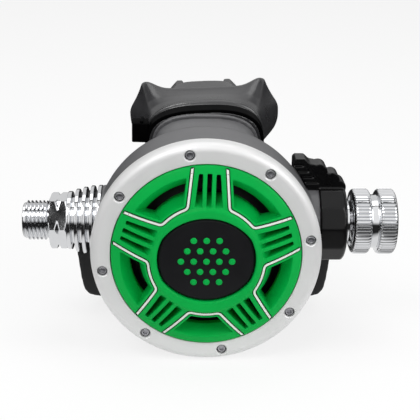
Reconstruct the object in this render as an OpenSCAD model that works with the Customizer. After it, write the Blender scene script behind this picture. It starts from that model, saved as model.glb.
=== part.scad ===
// Diving regulator second stage: round case with a screwed front ring, a pushable
// purge button in a windowed cover, a finned hose inlet on the left, a breathing
// adjustment knob and a flow lever on the right, an exhaust tee and a mouthpiece.
// X runs from the hose inlet to the knob, Y from the cover back to the mouthpiece.

/* [Case] */
// Outer radius of the round case
case_r = 39.5; // [39:0.1:40]
// Distance from the cover's rim plane to the front of the case
case_front = 6.3; // [6.2:0.1:6.6]
// Radius of the rounded rear shoulder of the case
shoulder_r = 20.6; // [19:0.1:21]
// Distance from the cover's rim plane to the flat rear of the case
case_rear = 41; // [40.5:0.1:41.5]
// Wall thickness of the case
case_wall = 2.6; // [2.2:0.1:3]

/* [Front ring and cover] */
// Outer radius of the front ring
ring_r = 39.6; // [39.2:0.1:40]
// Number of screws that hold the front ring
screw_count = 8; // [6:1:8]
// Radius of the circle on which the ring screws stand
screw_circle_r = 35.9; // [35.8:0.1:36]
// Radius of the domed purge cover
cover_r = 32.4; // [32.2:0.1:32.5]
// Height of the cover's raised collar over its rim plane
cover_rise = 5.8; // [5.4:0.1:6.2]
// Number of windows in the cover
window_count = 5; // [4:1:5]
// Turn of the cover's pattern in its seat
cover_turn = -1.8; // [-6:0.1:6]
// Half width of the oval purge button
button_a = 16.4; // [16:0.1:16.5]
// Half height of the oval purge button
button_b = 14.7; // [14.2:0.1:15]

/* [Valve] */
// Distance from the cover's rim plane to the valve's axis
valve_y = 26; // [25.8:0.1:26.2]
// Height of the valve's axis over the centre of the case
valve_z = 3.3; // [3:0.1:3.6]
// Outer radius of the valve barrel
barrel_r = 8; // [7.9:0.05:8.05]
// Bore radius of the valve barrel
barrel_bore = 6.2; // [6.15:0.05:6.25]
// Free end of the hose inlet, left of the case's centre
inlet_end = 65.3; // [65:0.1:65.8]
// Crest radius of the hose thread, 9/16-18 UNF
thread_r = 7.14; // [7.13:0.01:7.15]
// Pitch of the hose thread, 18 to the inch
thread_pitch = 1.411; // [1.4:0.001:1.42]
// Radius of the hose connector's socket in the inlet
inlet_bore = 4.8; // [4.6:0.1:5]
// Radius of the largest heat sink fin
fin_r = 12.8; // [12.6:0.1:13]

/* [Knob and lever] */
// Free end of the adjustment knob, right of the case's centre
knob_end = 68.2; // [67.9:0.1:68.6]
// Radius of the knob over its flutes
knob_r = 11.9; // [11.5:0.1:12.2]
// Number of flutes round the knob
flute_count = 60; // [40:4:72]
// Corner radius of the twelve-sided lever hub
hub_r = 14.6; // [14.4:0.1:14.8]
// Thickness of the lever's arm
arm_t = 8; // [7:0.5:8]

/* [Exhaust tee] */
// Half width of the exhaust tee over its outlets
tee_half_w = 48.5; // [47:0.1:49.5]
// Height of the case's centre over the surface on which the tee stands
stand_h = 40.2; // [40:0.1:40.6]
// Wall thickness of the exhaust tee
tee_wall = 2.2; // [1.8:0.1:2.6]

/* [Mouthpiece] */
// Upward tilt of the mouth tube in degrees
mouth_tilt = 12; // [10:0.5:13]
// Small twist of the soft mouthpiece on its tube in degrees
mouth_roll = 2.6; // [0:0.1:3]
// Length of the mouthpiece along its own axis
mouth_len = 49; // [46:0.5:50]
// Half width of the mouthpiece's lip shield
shield_a = 29.5; // [27:0.5:30]
// Half height of the lip shield at its upper corners
shield_b = 16; // [15:0.5:17]

/* [Hidden] */
$fn = 96;
eps = 0.01;
far = 200;

// Radial clearance of a part that turns or slides in another
run_gap = 0.06;

// ---------- Directions ----------

// The case's centre on the cover's rim plane is the point from which pieces are
// drawn; place() moves them so that the origin is the bottom centre of the whole.
mouth_y = 44;
mouth_z = 25;
tab_x = 9.6;
tab_ridge_x = 1.2;
tab_half_h = 6.3;
tab_low = tab_half_h * cos(mouth_roll) + (tab_x + tab_ridge_x) * sin(mouth_roll);
rear_end = mouth_y + mouth_len * cos(mouth_tilt) + tab_low * sin(mouth_tilt);
module place()
    translate([-(knob_end - inlet_end) / 2, -(rear_end - cover_rise) / 2, stand_h])
        children();

// Turns a profile drawn as (radius, depth) about the case's axis, which runs back
module about_y() rotate([-90, 0, 0]) rotate_extrude() children();

// A slab from depth y0 to y1 with an outline drawn as (x, z)
module slab_y(y0, y1)
    translate([0, y1, 0]) rotate([90, 0, 0]) linear_extrude(y1 - y0) children();

// A slab from x0 to x1 with an outline drawn as (y, z)
module slab_x(x0, x1)
    translate([x0, 0, 0]) rotate([90, 0, 90]) linear_extrude(x1 - x0) children();

// Puts a piece drawn along +Z on the valve's axis, which runs right
module on_valve(x = 0) translate([x, valve_y, valve_z]) rotate([0, 90, 0]) children();

// Turns a profile drawn as (radius, x) about the valve's axis
module about_valve() on_valve() rotate_extrude() children();

// A plain ring on the valve's axis from x0 to x1
module valve_ring(x0, x1, r_out, r_in)
    on_valve(x0) difference() {
        cylinder(h = x1 - x0, r = r_out);
        if (r_in > 0) translate([0, 0, -1]) cylinder(h = x1 - x0 + 2, r = r_in);
    }

// A plain disc on the case's axis from y0 to y1
module case_disc(y0, y1, r) translate([0, y0, 0]) rotate([-90, 0, 0]) cylinder(h = y1 - y0, r = r);

// Superellipse outline with n points: a and b half axes, e the squareness
function sgn(v) = v < 0 ? -1 : 1;
function oval_point(t, a, b, e) =
    [a * sgn(cos(t)) * pow(abs(cos(t)), 2 / e), b * sgn(sin(t)) * pow(abs(sin(t)), 2 / e)];
function oval(a, b, e, n = 64) = [for (i = [0:n - 1]) oval_point((i + 0.5) * 360 / n, a, b, e)];

// Side faces of a closed stack of rings, joined end to end where wrap is true
function ring_faces(rings, pts, wrap) =
    [for (i = [0:rings - (wrap ? 1 : 2)], j = [0:pts - 1])
        let (k = (i + 1) % rings, m = (j + 1) % pts)
            [i * pts + j, i * pts + m, k * pts + m, k * pts + j]];

// ---------- Case ----------

shoulder_y = case_rear - shoulder_r;
seat_y = 7.2;
bead_r = 33.4;
rim_inner_r = 31.5;
rim_depth = 14;
left_face = -36.9;
right_face = 40.25;
left_inner_face = -33.4;
left_boss_r = 12.8;
spot_r = 13.9;
right_boss_r = 13.5;
neck_front = 22;
neck_a = 18.9;
neck_b = 13.4;
neck_e = 2.8;
neck_wall = 3;
neck_drop = 0.4;
rim_half = 0.8;
rim_proud = 0.9;
rim_groove = 0.6;
tube_a = 17.2;
tube_b = 11;
tube_bore_a = 14.8;
tube_bore_b = 8.6;
tube_end = 11;
sleeve_r = 9.2;
port_dir = 25;
port_r = 8.5;
tee_screw_x = 12;

module case_profile(shrink)
    union() {
        translate([0, 0]) square([case_r - shrink, shoulder_y]);
        square([case_r - shoulder_r, case_rear - shrink]);
        intersection() {
            translate([case_r - shoulder_r, shoulder_y]) circle(shoulder_r - shrink);
            square([case_r + 1, case_rear + 1]);
        }
    }

// Everything behind the sealing face, as a solid of revolution
module case_body(shrink, front)
    about_y() intersection() {
        case_profile(shrink);
        translate([0, front]) square(far);
    }

// Puts a piece drawn along +Y on the mouth tube's tilted axis
module on_mouth() translate([0, mouth_y, mouth_z]) rotate([mouth_tilt, 0, 0]) children();

// Puts a piece drawn along +Z on the exhaust port's axis, its zero on the case's skin
module on_port()
    translate([0, shoulder_y + shoulder_r * cos(port_dir),
               -(case_r - shoulder_r) - shoulder_r * sin(port_dir)])
        rotate([-90 - port_dir, 0, 0]) children();

// The neck that joins the round case to the mouth tube, its outline inset by c
module neck(y0, y1, c)
    slab_y(y0, y1) translate([0, mouth_z - neck_drop]) polygon(oval(neck_a - c, neck_b - c, neck_e));

module case() place() color("#4a4a4a") {
    difference() {
        union() {
            case_body(0, case_front);
            valve_ring(left_face, -20, left_boss_r, 0);
            valve_ring(20, right_face, right_boss_r, 0);
            intersection() {
                neck(neck_front, 50, 0);
                on_mouth() slab_y(-40, 0) square(100, center = true);
            }
            on_mouth() slab_y(-rim_half, rim_half)
                polygon(oval(neck_a + rim_proud, neck_b + rim_proud, neck_e));
            on_mouth() slab_y(-8, tube_end) polygon(oval(tube_a, tube_b, neck_e));
        }
        // Room for the diaphragm's bead, the rim that carries the screws, the chamber
        case_disc(0, seat_y, bead_r + 0.2);
        case_disc(0, rim_depth, rim_inner_r);
        difference() {
            case_body(case_wall, rim_depth - eps);
            valve_ring(-far, left_inner_face, left_boss_r, 0);
        }
        neck(neck_front - 4, 39, neck_wall);
        on_mouth() slab_y(-20, tube_end + 1) polygon(oval(tube_bore_a, tube_bore_b, neck_e));
        // Groove that sets the rim off from the neck
        on_mouth() slab_y(-rim_half - 1, -rim_half) difference() {
            square(60, center = true);
            translate([0, -neck_drop]) polygon(oval(neck_a - rim_groove, neck_b - rim_groove, neck_e));
        }
        // Journals of the valve barrel and of the vane's sleeve
        on_valve(left_face - 1) cylinder(h = 30, r = barrel_r + run_gap);
        on_valve(left_face - 1) cylinder(h = 3.2, r = 9.7);
        // Spot face on which the heat sink seats
        on_valve(-far) cylinder(h = far + left_face, r = spot_r);
        on_valve(20) cylinder(h = 30, r = sleeve_r + 0.08);
        for (a = [0:screw_count - 1]) ring_screw_at(a)
            cylinder(h = 13, r = 1.25);
        on_port() translate([0, 0, -8]) cylinder(h = 12, r = port_r);
        for (s = [-1, 1]) translate([s * tee_screw_x, case_rear - 2, 0])
            rotate([-90, 0, 0]) cylinder(h = 5, r = 1.25);
    }
    // Spider that carries the exhaust valve's stem
    on_port() difference() {
        union() {
            translate([0, 0, -2.2]) cylinder(h = 1.8, r = 3.2);
            for (a = [0, 60, 120]) rotate(a) translate([-port_r - 0.3, -0.8, -2.2])
                cube([2 * port_r + 0.6, 1.6, 1.8]);
        }
        translate([0, 0, -5]) cylinder(h = 8, r = 1.7);
    }
}

// ---------- Front ring and its screws ----------

first_screw = 99.1;
ring_front = -0.2;
ring_round = 3;
ring_inner_r = 32.7;
lip_back = 3.5;
step_r = 33.55;
head_top = 0.5;
head_r = 1.65;
head_seat = 3.4;

// Stands a piece drawn along +Z, running back, on ring screw number i
module ring_screw_at(i)
    rotate([0, -(first_screw - i * 360 / screw_count), 0]) translate([screw_circle_r, 0, 0])
        rotate([-90, 0, 0]) children();

module front_ring() place() color("#d8d8d8") difference() {
    about_y() difference() {
        union() {
            translate([0, ring_front]) square([ring_r - ring_round, case_front - ring_front]);
            translate([0, ring_front + ring_round]) square([ring_r, case_front - ring_front - ring_round]);
            translate([ring_r - ring_round, ring_front + ring_round]) circle(ring_round);
        }
        translate([-1, -far / 2]) square([ring_inner_r + 1, far]);
        translate([0, lip_back]) square([step_r, far]);
    }
    for (i = [0:screw_count - 1]) ring_screw_at(i) {
        translate([0, 0, -2]) cylinder(h = head_seat + 2, r = head_r + 0.15);
        cylinder(h = far / 10, r = 1.35);
        translate([0, 0, ring_front - eps]) cylinder(h = 0.35, r1 = head_r + 0.5, r2 = head_r + 0.15);
    }
}

module ring_screws() place() color("#8c8c90") for (i = [0:screw_count - 1]) ring_screw_at(i)
    difference() {
        union() {
            translate([0, 0, head_top + 0.4]) cylinder(h = head_seat - head_top - 0.4, r = head_r);
            translate([0, 0, head_top]) cylinder(h = 0.4 + eps, r1 = head_r - 0.4, r2 = head_r);
            translate([0, 0, head_seat - eps]) cylinder(h = 8.6, r = 1.2);
        }
        translate([0, 0, head_top - 1]) cylinder(h = 2.2, r = 0.9, $fn = 6);
    }

// ---------- Purge cover ----------

flange_r = 33.4;
flange_back = 4.85;
lip_inner_r = 12.5;
button_gap = 0.25;
button_up = 0.4;
button_arc_r = 18.4;
catch_r = 17.8;
catch_y = -2.4;
collar_r = 17.6;
dome_edge_y = -1.15;
dome_top_y = -4.8;
dome_in_r = 19.2;
dome_out_r = 31.7;
plate_front = 3.2;
plate_back = 4.4;
stem_hole_r = 4;
trim_w = 0.75;
trim_side = 8.17;
trim_lean = 48.9;
trim_round = 2.2;
slot_half = 0.8;
slot_inner = 2.2;

// Radius of the circular arc that forms the dome between its two edges
dome_run = dome_out_r - dome_in_r;
dome_fall = dome_edge_y - dome_top_y;
dome_chord = norm([dome_run, dome_fall]);
dome_bulge = 0.55;
dome_arc_r = (pow(dome_chord / 2, 2) + pow(dome_bulge, 2)) / (2 * dome_bulge);
dome_lean = atan2(dome_fall, dome_run);
function dome_point(k) =
    let (half = asin(dome_chord / 2 / dome_arc_r), a = half * (2 * k - 1))
        [dome_in_r + dome_run / 2 + dome_arc_r * sin(a) * cos(dome_lean)
            + (dome_arc_r * cos(a) - dome_arc_r + dome_bulge) * sin(dome_lean),
         (dome_edge_y + dome_top_y) / 2 + dome_arc_r * sin(a) * sin(dome_lean)
            - (dome_arc_r * cos(a) - dome_arc_r + dome_bulge) * cos(dome_lean)];

// Outline of the cover's front as (radius, depth), from the button's edge to the rim
function collar_point(a) = [collar_r + 1.35 * cos(a), -cover_rise + 1.1 - 1.1 * sin(a)];
front_line = concat(
    [[lip_inner_r, -cover_rise]],
    [for (a = [90:-20:30]) collar_point(a)],
    [for (k = [0:8]) dome_point(k / 8)],
    [[cover_r - 0.15, dome_edge_y + 0.35], [cover_r, dome_edge_y + 0.8]]);

// A plate from depth y0 to y1 with the button's oval outline grown by c, its front
// edge chamfered by f, or flared where f is negative
module button_plate(y0, y1, c, f)
    translate([0, 0, button_up]) intersection_for(s = [-1, 0, 1]) {
        r = (s == 0 ? button_a : button_arc_r) + c;
        translate([0, 0, s * (button_arc_r - button_b)]) about_y()
            polygon([[0, y0], [r - f, y0], [r, y0 + abs(f)], [r, y1], [0, y1]]);
    }

module cover_section()
    polygon(concat(front_line,
        [[cover_r, lip_back + 0.05], [flange_r, lip_back + 0.05], [flange_r, flange_back],
         [rim_inner_r - 1, flange_back], [rim_inner_r - 1, plate_back], [stem_hole_r, plate_back],
         [stem_hole_r, plate_front], [catch_r, plate_front], [catch_r, catch_y],
         [lip_inner_r, catch_y]]));

// Half the angle of a window at radius r, its sides inset by c from the spokes
function window_half(r, c) = acos((trim_side + c) / r) - trim_lean;

// The inner corner of a window on side s, rounded by f
function window_corner(r0, c, f, s) = f == 0 ? [] : [for (k = [0:4])
    let (t = window_half(r0 + f, c + f), a = t + 180 - (t + trim_lean) * (s > 0 ? k : 4 - k) / 4)
        (r0 + f) * [cos(t), s * sin(t)] + f * [cos(a), s * sin(a)]];

// A window's outline between two radii, its sides inset by c
module window_outline(r0, r1, c, f = 0)
    polygon(concat(
        [for (k = [-5:5]) let (t = window_half(r0 + f, c + f) * k / (f == 0 ? 5 : 6)) r0 * [cos(t), sin(t)]],
        window_corner(r0, c, f, 1),
        [for (k = [6:-1:-6]) let (t = window_half(r1, c) * k / 6) r1 * [cos(t), sin(t)]],
        window_corner(r0, c, f, -1)));

// Turns a piece drawn along +X to window number i, or to spoke number i
module at_window(i) rotate([0, -(90 + 180 / window_count + cover_turn + i * 360 / window_count), 0])
    children();
module at_spoke(i) rotate([0, -(90 + cover_turn + i * 360 / window_count), 0]) children();

module window_cut() intersection() {
    about_y() polygon([[29.4, -9], [29.4, -2.4], [26.2, 2], [26.2, 9], [23, 9], [23, 1.5],
                       [20.9, -4.2], [20.9, -9]]);
    slab_y(-10, 10) window_outline(19, 31, 1.9);
}

// Three slots through a spoke, the outer two as wide as the spoke's sides let them be
module spoke_slots() intersection() {
    translate([0, 0, -far / 2]) linear_extrude(far)
        polygon([[18.3, -9], [18.3, -6], [21.6, 0.6], [21.6, 9], [29.8, 9], [29.8, -9]]);
    slab_y(-10, 10) union() {
        translate([15, -slot_half]) square([20, 2 * slot_half]);
        for (s = [0, 1]) mirror([0, s]) polygon([
            [15, slot_inner], [29.6, slot_inner], [29.6, 3.6], [15, 5]]);
    }
}

module trim_band(c) difference() {
    window_outline(dome_in_r + c, dome_out_r + 0.2, c, trim_round - c);
    window_outline(dome_in_r + trim_w - c, cover_r + 3, trim_w - c, trim_round - trim_w + c);
}

module purge_cover() place() color("#00a04a") difference() {
    about_y() cover_section();
    button_plate(-cover_rise - eps, 0, button_gap, -0.5);
    for (i = [0:window_count - 1]) {
        at_window(i) window_cut();
        at_spoke(i) spoke_slots();
        at_window(i) intersection() {
            slab_y(-10, 10) trim_band(-0.3);
            about_y() difference() {
                translate([10, -10]) square([40, 20]);
                translate([0, 0.75]) polygon(concat([[0, -9]], front_line, [[cover_r, 20], [0, 20]]));
            }
        }
    }
    for (a = [0:60:300]) rotate([0, a, 0]) translate([11, 0, 0]) rotate([-90, 0, 0]) cylinder(h = 9, r = 2.6);
}

module cover_trim() place() color("#e6e6e0") for (i = [0:window_count - 1]) at_window(i)
    intersection() {
        slab_y(-10, 10) trim_band(0);
        about_y() difference() {
            translate([0, -0.08]) polygon(concat([[0, -9]], front_line, [[cover_r, 20], [0, 20]]));
            translate([0, 0.7]) polygon(concat([[0, -9]], front_line, [[cover_r, 20], [0, 20]]));
        }
    }

// ---------- Purge button and its spring ----------

button_front = -5;
button_back = -2.4;
foot_r = 8;
foot_back = -1.7;
catch_in_r = 15.2;
stem_r = 3;
stem_end = 8.4;
grip_r = 1.15;
grip_pitch = 4.3;
grip_rise = 0.45;
grip_sink = 0.6;

// Places of the grip dots: a six-sided field of two rings round a centre dot
grip_places = [for (q = [-2:2], r = [-2:2]) if (abs(q + r) <= 2)
    grip_pitch * [q + r / 2, r * sin(60)]];

module purge_button() place() color("#1a1a1c") difference() {
    union() {
        button_plate(button_front, button_back + eps, 0, 0.7);
        // Catch that stays behind the cover's lip
        about_y() polygon([[foot_r, button_back - 0.2], [13.5, button_back - 0.2], [13.5, -2.3],
            [17.4, -2.3], [17.4, -0.9], [catch_in_r, -0.9], [catch_in_r, foot_back], [foot_r, foot_back]]);
        case_disc(button_back - 0.2, stem_end, stem_r);
    }
    for (p = grip_places) translate([p[0], button_front - 1, p[1]]) rotate([-90, 0, 0])
        cylinder(h = 1 + grip_sink, r = grip_r + 0.03);
}

module button_grips() place() color("#00a04a") for (p = grip_places)
    translate([p[0], button_front - grip_rise, p[1]]) rotate([-90, 0, 0]) {
        cylinder(h = 0.3, r1 = grip_r - 0.3, r2 = grip_r);
        translate([0, 0, 0.3 - eps]) cylinder(h = grip_rise + grip_sink - 0.3, r = grip_r);
    }

// Rings of a round wire wound about +Z
function coil_point(t, turns, r, h) = [r * cos(360 * turns * t), r * sin(360 * turns * t), h * t];
function coil_ring(t, turns, r, h, wire, sides) =
    let (p = coil_point(t, turns, r, h), a = 360 * turns * t)
        [for (k = [0:sides - 1]) let (b = 360 * k / sides)
            [p[0] + wire * cos(b) * cos(a), p[1] + wire * cos(b) * sin(a), p[2] + wire * sin(b)]];
module coil(turns, r, h, wire, rings_per_turn = 10, sides = 8) {
    n = round(turns * rings_per_turn);
    rings = [for (i = [0:n]) coil_ring(i / n, turns, r, h, wire, sides)];
    polyhedron(
        points = [for (ring = rings) each ring],
        faces = concat(
            [[for (k = [sides - 1:-1:0]) k]],
            ring_faces(n + 1, sides, false),
            [[for (k = [0:sides - 1]) n * sides + k]]));
    echo(coil_gap = h / turns - 2 * wire);
}

module purge_spring() place() color("#b0b0b4")
    translate([0, button_back + 0.5, 0]) rotate([-90, 0, 0])
        coil(turns = 3.5, r = 5.4, h = plate_front - button_back - 1, wire = 0.4);

// ---------- Diaphragm ----------

disc_front = 8.7;
disc_back = 9.55;

module diaphragm() place() color("#2b2b2b") about_y()
    polygon([[0, 9.6], [21.3, 9.6], [24.2, 11.1], [26, 10.8], [28, 6.1], [31.4, 5.9], [31.4, 4.9],
             [bead_r, 4.9], [bead_r, 7.15], [31.6, 7.15], [31.6, 6.7], [28.5, 6.9], [26.5, 11.5],
             [24, 11.9], [21, 10.3], [0, 10.3]]);

module diaphragm_disc() place() color("#606060") difference() {
    case_disc(disc_front, disc_back, 14);
    for (a = [0:60:300]) rotate([0, a, 0]) translate([9.5, 0, 0]) rotate([-90, 0, 0]) cylinder(h = 12, r = 2);
}

// ---------- Demand lever ----------

lever_pivot_x = 12;
lever_pivot_y = 20.5;
lever_tip_x = -1;
lever_tip_y = 11.5;
fork_z = 3.1;
ear_r = 0.9;
foot_y = 24.3;

module demand_lever() place() color("#c8c8cc") translate([0, 0, valve_z]) {
    // Arm from the tip down to the pivot
    translate([0, 0, -1.6]) linear_extrude(3.2) polygon([
        [lever_tip_x - 1, lever_tip_y - 0.6], [lever_tip_x + 1, lever_tip_y - 0.9],
        [lever_pivot_x - 3, 16.6], [lever_pivot_x - 0.2, 16.9], [lever_pivot_x - 0.2, 17.9],
        [lever_pivot_x - 3.4, 17.7], [lever_tip_x + 0.6, lever_tip_y + 0.3],
        [lever_tip_x - 1, lever_tip_y + 0.5]]);
    // Rounded tip that rides on the diaphragm
    translate([lever_tip_x, lever_tip_y, -3]) cylinder(h = 6, r = 0.9);
    // Yoke, two legs and the pivot's ears
    translate([lever_pivot_x - 1, 16.9, -fork_z - 0.8]) cube([1.8, 1, 2 * fork_z + 1.6]);
    for (s = [-1, 1]) {
        translate([lever_pivot_x - 0.9, 17.2, s * (fork_z + 0.3) - 0.5]) cube([1.7, foot_y - 17.2, 1]);
        translate([lever_pivot_x, lever_pivot_y, s > 0 ? fork_z - 0.2 : -fork_z - 2.1])
            cylinder(h = 2.3, r = ear_r);
    }
}

// ---------- Valve barrel and what it holds ----------

barrel_left = -36.8;
barrel_flange = -34.9;
barrel_right = 50.05;
orifice_face = -15;
nut_x = 13.2;
pad_x = 27.2;

module valve_barrel() place() color("#c9b27a") difference() {
    union() {
        valve_ring(barrel_left, barrel_right, barrel_r, 0);
        valve_ring(barrel_left, barrel_flange, 9.6, 0);
    }
    on_valve(barrel_left - 1) cylinder(h = far, r = barrel_bore);
    // Slot for the lever and the holes in which its ears turn
    translate([-5, valve_y - 10, valve_z - 4.2]) cube([21, 9.4, 8.4]);
    translate([lever_pivot_x, lever_pivot_y, valve_z - 9]) cylinder(h = 18, r = ear_r + run_gap);
    // Ports that let the air out towards the mouth tube
    for (x = [-4, 3]) translate([x, valve_y, valve_z]) rotate([-60, 0, 0]) cylinder(h = 12, r = 2.2);
}

hex_af = 17.9;
hex_mid = -52.45;
hex_left = -55.6;
fitting_shoulder = -49.3;
hex_end_r = 9.5;
hex_notch_r = 9.3;
spigot_r = 6.12;
spigot_end = -30;
thread_depth = 0.85;

// Saw-tooth outline of the thread's flank as (radius, x)
function thread_line() =
    [for (i = [0:5], k = [0:3])
        let (x = -inlet_end + 0.55 + i * thread_pitch + [0, 0.28, 0.62, 1.13][k])
            [thread_r - (k == 0 || k == 3 ? thread_depth * (k == 0 ? 0.9 : 1) : 0), x]];

// Hexagon whose corners are chamfered at both ends and notched in the middle
module hex_nut(x0, x1) intersection() {
    on_valve(x0) rotate(30) cylinder(h = x1 - x0, r = hex_af / 2 / cos(30), $fn = 6);
    about_valve() polygon([
        [0, x0], [hex_end_r, x0], [hex_end_r + 1, x0 + 0.6], [hex_end_r + 1, hex_mid - 0.9],
        [hex_notch_r, hex_mid - 0.15], [hex_notch_r, hex_mid + 0.15],
        [hex_end_r + 1, hex_mid + 0.9], [hex_end_r + 1, x1 - 0.6], [hex_end_r, x1], [0, x1]]);
}

module inlet_fitting() place() color("#cfd2d6") difference() {
    union() {
        about_valve() polygon(concat(
            [[0, -inlet_end], [thread_r - 0.9, -inlet_end]],
            thread_line(),
            [[thread_r - 0.9, hex_left - 0.4], [thread_r - 0.9, hex_left + eps], [0, hex_left + eps]]));
        hex_nut(hex_left, fitting_shoulder);
        difference() {
            valve_ring(fitting_shoulder - eps, spigot_end, spigot_r, 0);
            valve_ring(-34.9, -33.1, spigot_r + 1, spigot_r - 1.4);
        }
    }
    on_valve(-inlet_end - 1) cylinder(h = 9, r = inlet_bore);
    on_valve(-inlet_end - 1) cylinder(h = far, r = 2.6);
    on_valve(-inlet_end - eps) cylinder(h = 0.6, r1 = inlet_bore + 0.6, r2 = inlet_bore);
}

// A rubber ring on the valve's axis
module oring(x, r, wire) color("#1c1c1c") about_valve() translate([r, x]) circle(wire);

module inlet_oring() place() oring(-34, spigot_r - 0.72, 0.66);

fin_first = -48.45;
fin_step = 2.7;
fin_tip = 1.3;
fin_radii = [10.5, 11.4, 12.1, 12.6, fin_r];
core_r = 8.4;

module heat_sink() place() color("#d0d3d6") difference() {
    union() {
        valve_ring(fitting_shoulder + 0.02, left_face - 0.05, core_r, 0);
        for (i = [0:4]) let (x = fin_first + i * fin_step, r = fin_radii[i])
            about_valve() polygon([[0, x - 0.68], [core_r, x - 0.85], [r - 0.25, x - fin_tip / 2],
                [r, x - fin_tip / 2 + 0.25], [r, x + fin_tip / 2 - 0.25],
                [r - 0.25, x + fin_tip / 2], [core_r, x + 0.68], [0, x + 0.68]]);
    }
    on_valve(-60) cylinder(h = 30, r = barrel_bore);
    valve_ring(-60, fitting_shoulder, 20, 0);
    valve_ring(left_face - 0.04, -30, 20, 0);
}

module seat_orifice() place() color("#c8c8cc") difference() {
    union() {
        valve_ring(spigot_end + 0.1, -17.5, 5.9, 0);
        valve_ring(-17.6, -16, 4, 0);
        about_valve() polygon([[0, -16.1], [3.4, -16.1], [2.7, orifice_face], [0, orifice_face]]);
    }
    on_valve(-40) cylinder(h = 30, r = 2.2);
    valve_ring(-24.9, -23.1, 7, 4.6);
}

module orifice_oring() place() oring(-24, 5.35, 0.7);

module poppet() place() color("#e8e4d8") difference() {
    union() {
        valve_ring(-14.4, -10, 4.4, 0);
        intersection() {
            valve_ring(-14, -6, 6.12, 0);
            union() for (a = [45, 135]) on_valve(-14) rotate(a) translate([-7, -0.7, 0]) cube([14, 1.4, 8]);
        }
        valve_ring(-10 - eps, nut_x + 4, 1.8, 0);
    }
    on_valve(-15) cylinder(h = 2, r = 3.25);
}

module poppet_seat() place() color("#202020") valve_ring(-14.9, -13.05, 3.2, 0);

module poppet_nut() place() color("#c8c8cc") valve_ring(nut_x, nut_x + 2.4, 4.4, 1.85);

module poppet_spring() place() color("#b0b0b4")
    on_valve(nut_x + 2.9) coil(turns = 6, r = 3.3, h = pad_x - nut_x - 3.4, wire = 0.45);

module spring_pad() place() color("#e8e4d8") difference() {
    valve_ring(pad_x, pad_x + 6, 6.12, 0);
    on_valve(pad_x + 1.8) cylinder(h = 20, r = 2.56);
}

// ---------- Adjustment knob ----------

knob_left = 52.6;
ring_1_end = 59.1;
ring_2_start = 61.7;
knob_groove_r = 9.7;
knob_round = 1.2;
knob_recess = 65.6;
shaft_r = 3.4;
shaft_end = 64.4;
stop_left = 42.65;
stop_right = 45.85;
gland_left = 46.05;
gland_flange = 50.55;
gland_front = 51.75;
gland_r = 7.5;

module adjust_screw() place() color("#c8c8cc") difference() {
    union() {
        valve_ring(pad_x + 2.6, stop_left + 0.1, 2.5, 0);
        valve_ring(stop_left, stop_right, 6.12, 0);
        valve_ring(stop_right - 0.1, shaft_end, shaft_r, 0);
    }
    valve_ring(stop_left + 0.8, stop_right - 0.8, 7, 4.7);
    on_valve(shaft_end - 8) cylinder(h = 20, r = 1.25);
}

module screw_oring() place() oring((stop_left + stop_right) / 2, 5.4, 0.7);

module barrel_gland() place() color("#cfd2d6") difference() {
    union() {
        valve_ring(gland_left, gland_flange, 6.12, 0);
        about_valve() polygon([[0, gland_flange], [gland_r, gland_flange], [gland_r, gland_front - 0.3],
                               [gland_r - 0.3, gland_front], [0, gland_front]]);
    }
    on_valve(40) cylinder(h = 30, r = shaft_r + run_gap);
}

// Outline of a straight knurl: flutes with rounded valleys
function knurl(r, n, depth) = [for (i = [0:n - 1], k = [0:3])
    let (t = (i + [0, 0.3, 0.5, 0.8][k]) * 360 / n) (r - (k < 2 ? 0 : depth)) * [cos(t), sin(t)]];

module knob_ring(x0, x1) intersection() {
    on_valve(x0) linear_extrude(x1 - x0) polygon(knurl(knob_r, flute_count, 0.5));
    about_valve() polygon([
        [0, x0], [knob_r - knob_round, x0], [knob_r, x0 + knob_round], [knob_r, x1 - knob_round],
        [knob_r - knob_round, x1], [0, x1]]);
}

module adjust_knob() place() color("#cfd2d6") difference() {
    union() {
        knob_ring(knob_left, ring_1_end);
        knob_ring(ring_2_start, knob_end);
        valve_ring(ring_1_end - eps, ring_2_start + eps, knob_groove_r, 0);
    }
    on_valve(knob_left - 1) cylinder(h = shaft_end - knob_left + 1.05, r = shaft_r + 0.03);
    on_valve(knob_left - eps) difference() {
        cylinder(h = 0.6, r = 9.2);
        translate([0, 0, -1]) cylinder(h = 2, r = 7.6);
    }
    on_valve(shaft_end) cylinder(h = 20, r = 1.4);
    on_valve(knob_recess) cylinder(h = 20, r = 5);
}

module knob_screw() place() color("#8c8c90") difference() {
    union() {
        valve_ring(knob_recess + 0.05, knob_recess + 2, 2.9, 0);
        valve_ring(shaft_end - 6, knob_recess + 0.1, 1.2, 0);
    }
    on_valve(knob_recess + 0.8) cylinder(h = 3, r = 1.25, $fn = 6);
}

// ---------- Flow lever and its vane ----------

hub_turn = 22.4;
hub_left = 40.35;
hub_right = 50.05;
hub_round = 2.6;
sleeve_end = 47.65;
scallops = [[34, 25.2, 2.6], [40.3, 23.2, 2.7], [44.9, 20.3, 2.5], [47.3, 17.3, 2.6]];
finger_grooves = [19.2, 21.2, 23.3, 25.4];

module lever_arm_outline() union() {
    for (s = scallops) translate([s[0], s[1]]) circle(s[2]);
    polygon([[30.9, 20.5], [30.9, 27], [31.7, 27.8], [35, 27.8], [36.8, 26.1], [40.5, 25.4],
             [42.8, 22.9], [45, 21.8], [46.8, 19.9], [48.6, 17.4], [49.5, 11],
             [49.5, valve_z], [hub_left, valve_z], [hub_left, 14], [34, 14]]);
}

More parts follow.
